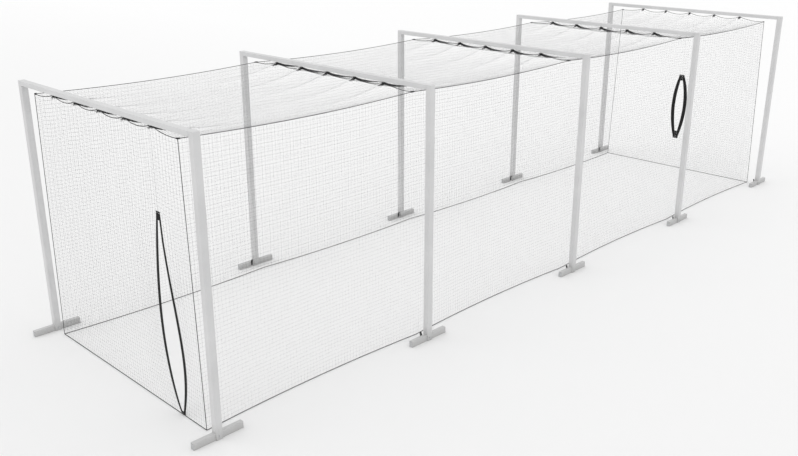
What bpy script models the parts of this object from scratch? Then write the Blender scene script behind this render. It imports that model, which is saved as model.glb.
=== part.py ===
"""Free-standing baseball batting cage: five portal frames carry a net tunnel with a slit door at each end.

Metres, +Z up, +Y along the cage, +X across it. The origin is on the ground at the middle of the cage.
"""

import math

import bmesh
import bpy

# Frames
FRAME_COUNT = 5
BAY = 3.56
POST_SPACING = 4.05
TOP_Z = 3.64
TUBE = 0.09
BAR_HEIGHT = 0.065
TUBE_WALL = 0.003
TUBE_CORNER = 0.007
CORNER_STEPS = 3

# Feet: each post's forked lower end stands astride a bar that lies along the cage
FOOT_LENGTH = 0.68
FOOT_WIDTH = 0.06
FOOT_HEIGHT = 0.09
FOOT_CORNER = 0.005

# Inner spigots that join the crossbars to the posts
SPIGOT_LENGTH = 0.16
SPIGOT_CLEARANCE = 0.0008

# Welded eyes under each crossbar
HOOK_COUNT = 5
HOOK_SPACING = 0.58
EYE_RADIUS = 0.012
EYE_WIRE = 0.003
EYE_STEPS = 12
EYE_SIDES = 6
EYE_Z = TOP_Z - BAR_HEIGHT - EYE_RADIUS + 0.001

# Net
NET_THICK = 0.002
NET_TOP_HALF = 1.70
NET_BOTTOM_HALF = 1.80
SCALLOP_SAG = 0.055
SCALLOP_STEPS = 4
SIDE_Z = 3.505
SIDE_SAG = 0.045
ROOF_DROOP = 0.065
ROOF_SAG = 0.05
RIDGE_LENGTH = 0.22
BOTTOM_BOW = 0.065
ROPE_RADIUS = 0.004
ROPE_INSET = 0.008
ROOF_DROP = 0.02
GROUND_CLEARANCE = 0.006

# Slit doors: two bound edges bow apart, left and right of a line from a top point to a bottom point.
# bow is how far an edge stands off the line, lean above 1 puts its widest place lower down, and round
# below 1 fills out its ends. flap is how much of the net beyond the binding moves with the edge. The
# binding is narrower where the two edges meet.
BINDING_THICK = 0.005
BINDING_TAPER = 0.35
EDGE_CLEARANCE = 0.008
FLAP_GAP = 0.003
FLAP_MIN_WIDTH = 0.012
SLITS = {
    "near": {
        "end": -1,
        "top": (1.15, 2.545),
        "bottom": (1.31, 0.014),
        "binding": 0.056,
        "left": {"bow": 0.20, "lean": 1.27, "round": 0.72, "flap": 0.22},
        "right": {"bow": 0.134, "lean": 1.90, "round": 1.04, "flap": 0.17},
    },
    "far": {
        "end": 1,
        "top": (-0.027, 2.15),
        "bottom": (-0.041, 0.715),
        "binding": 0.085,
        "left": {"bow": 0.092, "lean": 1.0, "round": 1.0, "flap": 0.25},
        "right": {"bow": 0.104, "lean": 0.88, "round": 1.0, "flap": 0.25},
    },
}
SLIT_STEPS = 18

GAP = 0.0003


# ---------------------------------------------------------------- scene and materials

def clear_scene():
    for obj in list(bpy.data.objects):
        bpy.data.objects.remove(obj)


def principled(name, colour, roughness, metallic=0.0):
    material = bpy.data.materials.new(name)
    material.use_nodes = True
    shader = material.node_tree.nodes["Principled BSDF"]
    shader.inputs["Base Color"].default_value = (*colour, 1.0)
    shader.inputs["Roughness"].default_value = roughness
    shader.inputs["Metallic"].default_value = metallic
    return material


def make_materials():
    return {
        "frame": principled("frame_powder_coat", (0.62, 0.63, 0.64), 0.45),
        "steel": principled("spigot_zinc", (0.55, 0.56, 0.58), 0.35, 1.0),
        "net": principled("net_twine", (0.06, 0.06, 0.065), 0.8),
        "rope": principled("border_rope", (0.03, 0.03, 0.033), 0.75),
        "webbing": principled("door_webbing", (0.01, 0.01, 0.011), 0.7),
    }


def add_object(name, bm, material, location=(0, 0, 0), smooth=True):
    bmesh.ops.recalc_face_normals(bm, faces=bm.faces)
    mesh = bpy.data.meshes.new(name)
    bm.to_mesh(mesh)
    bm.free()
    mesh.materials.append(material)
    if smooth:
        mesh.shade_smooth()
        mesh.set_sharp_from_angle(angle=math.radians(35))
    obj = bpy.data.objects.new(name, mesh)
    obj.location = location
    bpy.context.scene.collection.objects.link(obj)
    return obj


def add_cutter(name, bm):
    obj = add_object(name, bm, None, smooth=False)
    obj.hide_render = True
    obj.display_type = "WIRE"
    return obj


def add_boolean(obj, other, operation):
    modifier = obj.modifiers.new(operation.lower() + "_" + other.name, "BOOLEAN")
    modifier.operation = operation
    modifier.object = other
    modifier.solver = "EXACT"


# ---------------------------------------------------------------- shapes

def rounded_rectangle(width, height, radius):
    """Corner points of a rounded rectangle about (0, 0), counter-clockwise."""
    points = []
    for quarter, (sx, sy) in enumerate(((1, 1), (-1, 1), (-1, -1), (1, -1))):
        cx = sx * (width / 2 - radius)
        cy = sy * (height / 2 - radius)
        for step in range(CORNER_STEPS + 1):
            angle = math.pi / 2 * (quarter + step / CORNER_STEPS)
            points.append((cx + radius * math.cos(angle), cy + radius * math.sin(angle)))
    return points


def loop_of(bm, points):
    return [bm.verts.new(point) for point in points]


def bridge(bm, first, second):
    count = len(first)
    for i in range(count):
        j = (i + 1) % count
        bm.faces.new((first[i], first[j], second[j], second[i]))


def open_tube(width, height, radius, wall, length):
    """A hollow rounded tube along +Z from 0 to length, open at both ends."""
    outer = rounded_rectangle(width, height, radius)
    inner = rounded_rectangle(width - 2 * wall, height - 2 * wall, radius - wall)
    bm = bmesh.new()
    rings = [loop_of(bm, [(x, y, z) for x, y in outline])
             for outline, z in ((outer, 0), (outer, length), (inner, length), (inner, 0))]
    for k in range(4):
        bridge(bm, rings[k], rings[(k + 1) % 4])
    return bm


def capped_tube(width, radius, wall, length):
    """A hollow square tube along +Z, closed by a plate at its top."""
    outer = rounded_rectangle(width, width, radius)
    inner = rounded_rectangle(width - 2 * wall, width - 2 * wall, radius - wall)
    bm = bmesh.new()
    rings = [loop_of(bm, [(x, y, z) for x, y in outline])
             for outline, z in ((outer, length), (outer, 0), (inner, 0), (inner, length - wall))]
    for k in range(3):
        bridge(bm, rings[k], rings[k + 1])
    bm.faces.new(rings[0])
    bm.faces.new(rings[3])
    return bm


def block(low, high):
    bm = bmesh.new()
    bmesh.ops.create_cube(bm, size=1.0)
    for vert in bm.verts:
        vert.co = [low[k] + (high[k] - low[k]) * (vert.co[k] + 0.5) for k in range(3)]
    return bm


def add_ring(bm, centre):
    """A round eye about an axis along X."""
    rings = []
    for i in range(EYE_STEPS):
        turn = 2 * math.pi * i / EYE_STEPS
        loop = []
        for k in range(EYE_SIDES):
            side = 2 * math.pi * k / EYE_SIDES
            reach = EYE_RADIUS + EYE_WIRE * math.cos(side)
            loop.append((centre[0] + EYE_WIRE * math.sin(side),
                         centre[1] + reach * math.cos(turn),
                         centre[2] + reach * math.sin(turn)))
        rings.append(loop_of(bm, loop))
    for i in range(EYE_STEPS):
        bridge(bm, rings[i], rings[(i + 1) % EYE_STEPS])


def sheet(grid_points, offset):
    """A closed sheet: a grid of points and the same grid moved by offset, joined round its edge."""
    bm = bmesh.new()
    rows, columns = len(grid_points), len(grid_points[0])
    layers = []
    for shift in ((0, 0, 0), offset):
        layers.append([[bm.verts.new([p[k] + shift[k] for k in range(3)]) for p in row]
                       for row in grid_points])
    for layer in layers:
        for r in range(rows - 1):
            for c in range(columns - 1):
                bm.faces.new((layer[r][c], layer[r][c + 1], layer[r + 1][c + 1], layer[r + 1][c]))
    edge = [(0, c) for c in range(columns)]
    edge += [(r, columns - 1) for r in range(1, rows)]
    edge += [(rows - 1, c) for c in range(columns - 2, -1, -1)]
    edge += [(r, 0) for r in range(rows - 2, 0, -1)]
    bridge(bm, [layers[0][r][c] for r, c in edge], [layers[1][r][c] for r, c in edge])
    return bm


def upright_plate(outline, y, thick):
    """A flat plate in the XZ plane, from an outline of (x, z) points, centred on y."""
    bm = bmesh.new()
    front = loop_of(bm, [(x, y - thick / 2, z) for x, z in outline])
    back = loop_of(bm, [(x, y + thick / 2, z) for x, z in outline])
    bridge(bm, front, back)
    caps = [bm.faces.new(front), bm.faces.new(back)]
    bmesh.ops.triangulate(bm, faces=caps)
    return bm


def rope(name, points, material, closed=False):
    """A round rope along a list of points."""
    curve = bpy.data.curves.new(name, "CURVE")
    curve.dimensions = "3D"
    curve.bevel_depth = ROPE_RADIUS
    curve.bevel_resolution = 1
    curve.use_fill_caps = True
    spline = curve.splines.new("POLY")
    spline.points.add(len(points) - 1)
    for slot, point in zip(spline.points, points):
        slot.co = (*point, 1.0)
    spline.use_cyclic_u = closed
    curve.materials.append(material)
    obj = bpy.data.objects.new(name, curve)
    bpy.context.scene.collection.objects.link(obj)
    return obj


# ---------------------------------------------------------------- where the net hangs

def frame_y(index):
    return (index - (FRAME_COUNT - 1) / 2) * BAY


def hook_positions():
    middle = (HOOK_COUNT - 1) / 2
    return [(i - middle) * HOOK_SPACING for i in range(HOOK_COUNT)]


def hanging_points():
    """(x, z) of the points that hold the net's rope under a crossbar."""
    points = [(-NET_TOP_HALF, SIDE_Z)]
    points += [(x, EYE_Z) for x in hook_positions()]
    points.append((NET_TOP_HALF, SIDE_Z))
    return points


def scallop_columns():
    """x of evenly spaced stations in every scallop, hanging points included."""
    knots = hanging_points()
    columns = []
    for (x0, _), (x1, _) in zip(knots, knots[1:]):
        columns += [x0 + (x1 - x0) * k / SCALLOP_STEPS for k in range(SCALLOP_STEPS)]
    columns.append(NET_TOP_HALF)
    return columns


def scallop_z(x):
    """Height of the rope that hangs in scallops between the hanging points."""
    points = hanging_points()
    for (x0, z0), (x1, z1) in zip(points, points[1:]):
        if x <= x1 or x1 == NET_TOP_HALF:
            t = min(1.0, max(0.0, (x - x0) / (x1 - x0)))
            sag = SCALLOP_SAG if z0 == z1 else SCALLOP_SAG * 0.5
            return z0 + (z1 - z0) * t - 4 * sag * t * (1 - t)
    return SIDE_Z


def bay_share(y):
    """0 at a frame and 1 at the middle of a bay."""
    t = (y - frame_y(0)) / BAY
    t -= math.floor(min(t, FRAME_COUNT - 1 - 1e-9))
    return 4 * t * (1 - t)


def frame_distance(y):
    t = (y - frame_y(0)) / BAY
    return abs(t - round(t)) * BAY


def side_z(y):
    return SIDE_Z - SIDE_SAG * bay_share(y)


def roof_z(x, y):
    """Height of the roof net: it falls away from the ropes at its edges and from each hook."""
    middle = 1 - (abs(x) / NET_TOP_HALF) ** 4
    slack = side_z(y) - (ROOF_DROOP + ROOF_SAG * bay_share(y)) * middle
    ridge = scallop_z(x) - SIDE_Z + ROOF_DROOP * middle
    return slack + ridge * math.exp(-frame_distance(y) / RIDGE_LENGTH)


def bottom_half(y):
    return NET_BOTTOM_HALF - BOTTOM_BOW * bay_share(y)


def bay_stations(steps):
    """y of evenly spaced stations in every bay, frames included."""
    total = (FRAME_COUNT - 1) * steps
    return [frame_y(0) + BAY * i / steps for i in range(total + 1)]


# ---------------------------------------------------------------- frames

def add_posts(materials):
    reach = FOOT_WIDTH / 2 + GAP
    for side, sign in (("left", -1), ("right", 1)):
        x = sign * POST_SPACING / 2
        for index in range(FRAME_COUNT):
            y = frame_y(index)
            number = index + 1
            post = add_object(f"post_{number}_{side}",
                              capped_tube(TUBE, TUBE_CORNER, TUBE_WALL, TOP_Z - 0.001),
                              materials["frame"], (x, y, 0.001))
            notch = add_cutter(f"notch_{number}_{side}",
                               block((x - reach, y - TUBE, -0.05),
                                     (x + reach, y + TUBE, FOOT_HEIGHT + GAP)))
            add_boolean(post, notch, "DIFFERENCE")


def add_feet(materials):
    for side, sign in (("left", -1), ("right", 1)):
        for index in range(FRAME_COUNT):
            bm = open_tube(FOOT_WIDTH, FOOT_HEIGHT, FOOT_CORNER, TUBE_WALL, FOOT_LENGTH)
            for vert in bm.verts:
                x, z, y = vert.co
                vert.co = (x, y - FOOT_LENGTH / 2, z + FOOT_HEIGHT / 2)
            add_object(f"foot_bar_{index + 1}_{side}", bm, materials["frame"],
                       (sign * POST_SPACING / 2, frame_y(index), 0))


def add_crossbars(materials):
    length = POST_SPACING - TUBE - 2 * GAP
    centre_z = TOP_Z - BAR_HEIGHT / 2
    for index in range(FRAME_COUNT):
        y = frame_y(index)
        bm = open_tube(TUBE, BAR_HEIGHT, TUBE_CORNER, TUBE_WALL, length)
        for vert in bm.verts:
            cross, z, x = vert.co
            vert.co = (x - length / 2, cross, z)
        bar = add_object(f"crossbar_{index + 1}", bm, materials["frame"], (0, y, centre_z))
        eyes = bmesh.new()
        for x in hook_positions():
            add_ring(eyes, (x, y, EYE_Z))
        add_boolean(bar, add_cutter(f"eyes_{index + 1}", eyes), "UNION")


def add_spigots(materials):
    inset = 2 * TUBE_WALL + 2 * SPIGOT_CLEARANCE
    post_face = POST_SPACING / 2 - TUBE / 2 - GAP
    for side, sign in (("left", -1), ("right", 1)):
        for index in range(FRAME_COUNT):
            bm = open_tube(TUBE - inset, BAR_HEIGHT - inset, TUBE_CORNER - TUBE_WALL, TUBE_WALL,
                           SPIGOT_LENGTH)
            for vert in bm.verts:
                cross, z, x = vert.co
                vert.co = (sign * (post_face - x), cross, z)
            add_object(f"crossbar_spigot_{index + 1}_{side}", bm, materials["steel"],
                       (0, frame_y(index), TOP_Z - BAR_HEIGHT / 2))


# ---------------------------------------------------------------- net

def add_roof(materials):
    scale = (NET_TOP_HALF - ROPE_INSET) / NET_TOP_HALF
    ends = (frame_y(0) + ROPE_INSET, frame_y(FRAME_COUNT - 1) - ROPE_INSET)
    shares = (0, 0.04, 0.1, 0.25, 0.5, 0.75, 0.9, 0.96)
    stations = [frame_y(bay) + BAY * share for bay in range(FRAME_COUNT - 1) for share in shares]
    stations.append(frame_y(FRAME_COUNT - 1))
    points = []
    for station in stations:
        y = min(ends[1], max(ends[0], station))
        points.append([(x * scale, y, roof_z(x, y) - ROOF_DROP) for x in scallop_columns()])
    add_object("net_roof", sheet(points, (0, 0, NET_THICK)), materials["net"])


def add_side_walls(materials):
    low_z = GROUND_CLEARANCE + ROPE_INSET
    for side, sign in (("left", -1), ("right", 1)):
        points = []
        for station in bay_stations(6):
            y = min(frame_y(FRAME_COUNT - 1) - ROPE_INSET, max(frame_y(0) + ROPE_INSET, station))
            high_z = side_z(y) - ROOF_DROP - NET_THICK
            row = []
            for t in (0, 0.5, 1):
                x = bottom_half(y) * (1 - t) + NET_TOP_HALF * t - NET_THICK / 2
                row.append((sign * x, y, low_z + (high_z - low_z) * t))
            points.append(row)
        add_object(f"net_{side}", sheet(points, (sign * NET_THICK, 0, 0)), materials["net"])


def slit_line(slit, t):
    """(x, z) on the line through a slit's two ends; t runs from the top to the bottom."""
    (x0, z0), (x1, z1) = slit["top"], slit["bottom"]
    return x0 + (x1 - x0) * t, z0 + (z1 - z0) * t


def slit_shape(side, t):
    """0 at both ends of a slit and 1 where its edge stands furthest out."""
    return max(0.0, math.sin(math.pi * t ** side["lean"])) ** side["round"]


def edge_reach(slit, side, t):
    return max(EDGE_CLEARANCE, slit[side]["bow"] * slit_shape(slit[side], t))


def seam_reach(slit, side, t):
    width = slit["binding"] * (1 - BINDING_TAPER * (1 - slit_shape(slit[side], t)) ** 2)
    return edge_reach(slit, side, t) + width


def flap_reach(slit, side, t):
    whole = (slit[side]["bow"] + slit[side]["flap"]) * slit_shape(slit[side], t)
    return max(seam_reach(slit, side, t) + GAP, whole)


def slit_opening(slit):
    """(x, z) points round the hole in the wall that a slit's two flaps fill."""
    outline = []
    for side, sign in (("left", -1), ("right", 1)):
        line = []
        for k in range(SLIT_STEPS + 1):
            t = k / SLIT_STEPS
            x, z = slit_line(slit, t)
            if k == 0:
                z += EDGE_CLEARANCE
            if k == SLIT_STEPS:
                z -= EDGE_CLEARANCE
            line.append((x + sign * (flap_reach(slit, side, t) + FLAP_GAP), z))
        outline += line if side == "left" else line[::-1]
    return outline


def add_end_walls(materials):
    low_z = GROUND_CLEARANCE + ROPE_INSET
    for name, slit in SLITS.items():
        y = slit["end"] * -frame_y(0)
        scale = (NET_TOP_HALF - ROPE_INSET) / NET_TOP_HALF
        outline = [(-NET_BOTTOM_HALF + ROPE_INSET, low_z), (NET_BOTTOM_HALF - ROPE_INSET, low_z)]
        for x in reversed(scallop_columns()):
            outline.append((x * scale, scallop_z(x) - ROOF_DROP - NET_THICK - FLAP_GAP))
        wall = add_object(f"net_{name}_end", upright_plate(outline, y, NET_THICK), materials["net"])
        cutter = add_cutter(f"{name}_slit", upright_plate(slit_opening(slit), y, 0.1))
        add_boolean(wall, cutter, "DIFFERENCE")


def add_slit_edges(materials):
    for name, slit in SLITS.items():
        y = slit["end"] * -frame_y(0)
        for side, sign in (("left", -1), ("right", 1)):
            binding, flap = [], []
            for k in range(SLIT_STEPS + 1):
                t = k / SLIT_STEPS
                x, z = slit_line(slit, t)
                inner = edge_reach(slit, side, t)
                seam = seam_reach(slit, side, t)
                outer = flap_reach(slit, side, t)
                binding.append([(x + sign * reach, y - BINDING_THICK / 2, z)
                                for reach in (inner, seam)])
                if outer - seam > FLAP_MIN_WIDTH:
                    flap.append([(x + sign * reach, y - NET_THICK / 2, z)
                                 for reach in (seam + GAP, outer)])
            add_object(f"{name}_binding_{side}", sheet(binding, (0, BINDING_THICK, 0)),
                       materials["webbing"])
            add_object(f"{name}_flap_{side}", sheet(flap, (0, NET_THICK, 0)), materials["net"])


# ---------------------------------------------------------------- ropes sewn along the net's edges

def add_ropes(materials):
    first, last = frame_y(0), frame_y(FRAME_COUNT - 1)
    for side, sign in (("left", -1), ("right", 1)):
        top = [(sign * NET_TOP_HALF, y, side_z(y)) for y in bay_stations(8)]
        bottom = [(sign * bottom_half(y), y, GROUND_CLEARANCE) for y in bay_stations(8)]
        rope(f"border_rope_{side}", top + bottom[::-1], materials["rope"], closed=True)
    for name, y in (("near", first), ("far", last)):
        reach = NET_BOTTOM_HALF - ROPE_RADIUS - 0.001
        points = [(reach * (k / 2 - 1), y, GROUND_CLEARANCE) for k in range(5)]
        rope(f"floor_rope_{name}", points, materials["rope"])
    for index in range(FRAME_COUNT):
        reach = NET_TOP_HALF - ROPE_RADIUS - 0.001
        points = [(min(reach, max(-reach, x)), frame_y(index), scallop_z(x)) for x in scallop_columns()]
        rope(f"hanging_rope_{index + 1}", points, materials["rope"])


def main():
    clear_scene()
    materials = make_materials()
    add_posts(materials)
    add_feet(materials)
    add_crossbars(materials)
    add_spigots(materials)
    add_roof(materials)
    add_side_walls(materials)
    add_end_walls(materials)
    add_slit_edges(materials)
    add_ropes(materials)


main()
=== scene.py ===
"""Looks for the batting cage: twine, ropes, webbing, fasteners, materials, light and camera."""

import math

import bmesh
import bpy
import numpy as np
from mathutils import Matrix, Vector


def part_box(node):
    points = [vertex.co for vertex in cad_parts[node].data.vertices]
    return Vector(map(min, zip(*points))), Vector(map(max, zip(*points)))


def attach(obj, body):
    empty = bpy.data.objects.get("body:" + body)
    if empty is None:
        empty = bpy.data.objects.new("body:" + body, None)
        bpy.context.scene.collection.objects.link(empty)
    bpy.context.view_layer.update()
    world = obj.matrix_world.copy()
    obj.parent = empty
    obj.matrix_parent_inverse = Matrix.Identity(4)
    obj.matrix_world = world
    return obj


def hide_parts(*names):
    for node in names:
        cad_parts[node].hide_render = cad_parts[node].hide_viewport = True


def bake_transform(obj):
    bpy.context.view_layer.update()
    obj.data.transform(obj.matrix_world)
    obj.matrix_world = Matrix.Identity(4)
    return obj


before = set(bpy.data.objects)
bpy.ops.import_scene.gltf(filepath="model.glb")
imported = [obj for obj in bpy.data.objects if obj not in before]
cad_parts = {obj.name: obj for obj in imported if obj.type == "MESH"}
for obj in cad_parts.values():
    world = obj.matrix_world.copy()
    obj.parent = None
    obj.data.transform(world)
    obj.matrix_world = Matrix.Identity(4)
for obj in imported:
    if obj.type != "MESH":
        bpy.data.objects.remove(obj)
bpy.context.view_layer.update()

# Places taken from the frame
FRAMES = [1, 2, 3, 4, 5]
BARS = [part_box(f"crossbar_{number}") for number in FRAMES]
FRAME_Y = [(low[1] + high[1]) / 2 for low, high in BARS]
BAY = FRAME_Y[1] - FRAME_Y[0]
POSTS = {side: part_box(f"post_1_{side}") for side in ("left", "right")}
POST_X = {side: (low[0] + high[0]) / 2 for side, (low, high) in POSTS.items()}
TUBE = POSTS["left"][1][0] - POSTS["left"][0][0]
TOP_Z = POSTS["left"][1][2]
FOOT_LOW, FOOT_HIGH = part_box("foot_bar_1_left")
FOOT_WIDTH = FOOT_HIGH[0] - FOOT_LOW[0]
FOOT_HEIGHT = FOOT_HIGH[2] - FOOT_LOW[2]
FOOT_LENGTH = FOOT_HIGH[1] - FOOT_LOW[1]

# Tube sizes, as in the CAD
BAR_HEIGHT = 0.065
TUBE_WALL = 0.003

# The same hanging points and sags as the CAD ropes
HOOKS = [-1.16, -0.58, 0.0, 0.58, 1.16]
EYE_Z = 3.564
NET_TOP_HALF = 1.70
NET_BOTTOM_HALF = 1.80
SIDE_Z = 3.505
SIDE_SAG = 0.045
SCALLOP_SAG = 0.055
ROOF_DROOP = 0.065
ROOF_SAG = 0.05
RIDGE_LENGTH = 0.22
BOTTOM_BOW = 0.065
FLOOR_ROPE_Z = 0.006

# Net twine, and how the lengthwise twines of the roof draw together near an eye
MESH = 0.053
TWINE_RADIUS = 0.0006
ROOF_TWINE_RADIUS = 0.0005
KNOT_RATIO = 2.3
GATHER_REACH = 0.11
GATHER_LENGTH = 0.30
GATHER_SHARE = 0.55

# How far slack net strays from its smooth shape, and how a slit's edge pulls on the wall beside it
WALL_RIPPLE = 0.011
WALL_WANDER = 0.006
ROOF_RIPPLE = 0.010
END_RIPPLE = 0.010
PULL_WIDTH = 0.35
PULL_FADE = 1.5

# Folds of net drawn up to each eye: bundles of strands that run out along the roof, and a small tuft
FOLD_STRANDS = 26
FOLD_POINTS = 14
FOLD_STRAND_RADIUS = 0.0017
FOLD_WIDTH = 0.022
FOLD_DEPTH = 0.048
FOLD_RIDGE = 0.024
FOLD_RIDGE_PLACE = 0.30
FOLD_RIDGE_WIDTH = 0.08
LONG_FOLD = 0.58
SHORT_FOLD = 0.13
LAST_FOLD = 0.10
TUFT_STRANDS = 24
TUFT_REACH = 0.045
TUFT_DROP = 0.048
TUFT_START = 0.004
FOLD_SWAY = 0.004

# Steps that scatter shares evenly, one for each thing that is scattered
SCATTER = (0.618034, 0.414214, 0.732051)

# Cord lashings round the ropes at the eyes and corners: gap outside the rope's radius, and turns
EYE_LASHING = (0.0016, 7)
SIDE_LASHING = (0.004, 5)
BAR_LASHING = (0.003, 5)
LASHING_CORD = 0.0014
LASHING_POINTS = 64
LASHING_FROM_EYE = (0.006, 0.034)
LASHING_LENGTH = 0.03

# Slanting directions that the sections of strands and ropes are set out from
STRAND_ASKEW = np.array([0.29, 0.13, 0.95])
ROPE_ASKEW = np.array([0.31, 0.17, 0.93])
STRAND_SIDES = 4

# Ropes: three strands laid round each other
ROPE_RADIUS = 0.005
ROPE_LAY = 0.036
ROPE_RINGS_PER_LAY = 6
STRAND_LOBES = 3
SIDES_PER_LOBE = 3
ROPE_CORE = 0.84
ROPE_LOBE = 0.16

# Slit doors: two edges bow apart, as in the CAD, from a line between a top point and a bottom point.
# A binding's visible half thickness is BINDING_FILL of its thickness in the CAD. SLITS gives the depths of
# the gussets at the top and bottom.
BINDING_THICK = 0.005
BINDING_TAPER = 0.35
EDGE_CLEARANCE = 0.008
GUSSET_THICK = 0.003
GUSSET_GAP = 0.0015
GUSSET_STEPS = 12
BINDING_STEPS = 60
BINDING_SIDES = 16
BINDING_FILL = 0.45
ACROSS_NET = np.array([0.0, 1.0, 0.0])

# Stitches on the bindings, and the bar tacks: patches with close rows of stitches
STITCH_STEP = 0.009
STITCH_MARGIN = 0.02
STITCH_INSET = 0.004
STITCH_SEAT = 0.44
STITCH_SHAPE = [(-0.0028, 0, 0), (0, 0.0007, 0), (0.0028, 0, 0), (0, -0.0007, 0), (0, 0, 0.0009)]
PATCH_WIDTH = 0.95
PATCH_THICK = 2 * BINDING_FILL
PATCH_GAP = 0.001
PATCH_TALL = 0.022
PATCH_LOW = 0.008
PATCH_BEVEL = 0.0015
TACK_STEP = 0.0035
TACK_MARGIN = 0.003
TACK_SPACE = 0.005
TACK_WIDTH = 0.85
TACK_POINTS = 25
TACK_LIFT = 0.0003
TACK_WAVE = 0.0002
TACK_RADIUS = 0.0007

SLITS = {
    "near": {
        "y": FRAME_Y[0],
        "top": (1.15, 2.545),
        "bottom": (1.31, 0.014),
        "binding": 0.056,
        "gussets": (0.085, 0.035),
        "left": {"bow": 0.20, "lean": 1.27, "round": 0.72, "flap": 0.22},
        "right": {"bow": 0.134, "lean": 1.90, "round": 1.04, "flap": 0.17},
    },
    "far": {
        "y": FRAME_Y[-1],
        "top": (-0.027, 2.15),
        "bottom": (-0.041, 0.715),
        "binding": 0.085,
        "gussets": (0.110, 0.150),
        "left": {"bow": 0.092, "lean": 1.0, "round": 1.0, "flap": 0.25},
        "right": {"bow": 0.104, "lean": 0.88, "round": 1.0, "flap": 0.25},
    },
}
SIGN = {"left": -1, "right": 1}

# Fasteners and cleats
SEAT_GAP = 0.0001
EDGE_ANGLE = 35
SCREW_INSETS = (0.045, 0.115)
PLUG_CORNER_STEPS = 4
CLEAT_BACK = 0.10
CLEAT_HALF = 0.015
CLEAT_GAP = 0.0002
CLEAT_SEAT = 0.0099
CLEAT_BEVEL = 0.0016
CLEAT_RIVETS = (0.045, 0.075)

# The camera fitted to the frames
CAMERA_PLACE = (9.864, -12.045, 5.812)
CAMERA_DOWN = 19.683
CAMERA_TURN = 44.755
CAMERA_LENS = 40.66
CAMERA_SENSOR = 36.0
CAMERA_REACH = 1000.0

# Stage
WHITE = (1.0, 1.0, 1.0)
FLOOR_HALF = 400.0
FLOOR_DROP = 0.0005
SUN_STRENGTH = 0.25
SUN_SOFTNESS = 40
SUN_TILT = 38
SUN_TURN = -35


# ---------------------------------------------------------------- materials

class Nodes:
    """A material's node tree, built from the output back."""

    def __init__(self, name, roughness, metallic=0.0):
        self.material = bpy.data.materials.new(name)
        self.material.use_nodes = True
        self.tree = self.material.node_tree
        self.shader = self.tree.nodes["Principled BSDF"]
        self.shader.inputs["Roughness"].default_value = roughness
        self.shader.inputs["Metallic"].default_value = metallic
        self.place = self.add("ShaderNodeTexCoord").outputs["Object"]

    def add(self, kind, **values):
        node = self.tree.nodes.new(kind)
        for name, value in values.items():
            setattr(node, name, value)
        return node

    def link(self, source, target):
        self.tree.links.new(source, target)

    def noise(self, scale, detail=3.0, stretch=(1, 1, 1)):
        mapping = self.add("ShaderNodeMapping")
        mapping.inputs["Scale"].default_value = stretch
        self.link(self.place, mapping.inputs["Vector"])
        node = self.add("ShaderNodeTexNoise")
        node.inputs["Scale"].default_value = scale
        node.inputs["Detail"].default_value = detail
        self.link(mapping.outputs["Vector"], node.inputs["Vector"])
        return node.outputs["Fac"]

    def ramp(self, factor, stops):
        node = self.add("ShaderNodeValToRGB")
        elements = node.color_ramp.elements
        while len(elements) < len(stops):
            elements.new(0.5)
        for element, (place, colour) in zip(elements, stops):
            element.position = place
            element.color = (*colour, 1.0)
        self.link(factor, node.inputs["Fac"])
        return node.outputs["Color"]

    def mix(self, factor, first, second, mode="MIX"):
        node = self.add("ShaderNodeMix", data_type="RGBA", blend_type=mode)
        if isinstance(factor, float):
            node.inputs["Factor"].default_value = factor
        else:
            self.link(factor, node.inputs["Factor"])
        for socket, value in ((node.inputs["A"], first), (node.inputs["B"], second)):
            if isinstance(value, tuple):
                socket.default_value = (*value, 1.0)
            else:
                self.link(value, socket)
        return node.outputs["Result"]

    def math(self, operation, first, second):
        node = self.add("ShaderNodeMath", operation=operation)
        for socket, value in ((node.inputs[0], first), (node.inputs[1], second)):
            if isinstance(value, (int, float)):
                socket.default_value = value
            else:
                self.link(value, socket)
        return node.outputs["Value"]

    def wave(self, axis, scale, distortion=0.0):
        node = self.add("ShaderNodeTexWave", bands_direction=axis)
        node.inputs["Scale"].default_value = scale
        node.inputs["Distortion"].default_value = distortion
        self.link(self.place, node.inputs["Vector"])
        return node.outputs["Fac"]

    def fade(self, source, low, high, first, last):
        """Runs from first to last while the source runs from low to high."""
        node = self.add("ShaderNodeMapRange")
        for socket, value in zip(("From Min", "From Max", "To Min", "To Max"), (low, high, first, last)):
            node.inputs[socket].default_value = value
        self.link(source, node.inputs["Value"])
        return node.outputs["Result"]

    def colour(self, source):
        self.link(source, self.shader.inputs["Base Color"])

    def roughness(self, factor, low, high):
        self.link(self.fade(factor, 0.0, 1.0, low, high), self.shader.inputs["Roughness"])

    def bump(self, height, distance, strength=1.0):
        node = self.add("ShaderNodeBump")
        node.inputs["Distance"].default_value = distance
        node.inputs["Strength"].default_value = strength
        self.link(height, node.inputs["Height"])
        self.link(node.outputs["Normal"], self.shader.inputs["Normal"])


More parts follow.
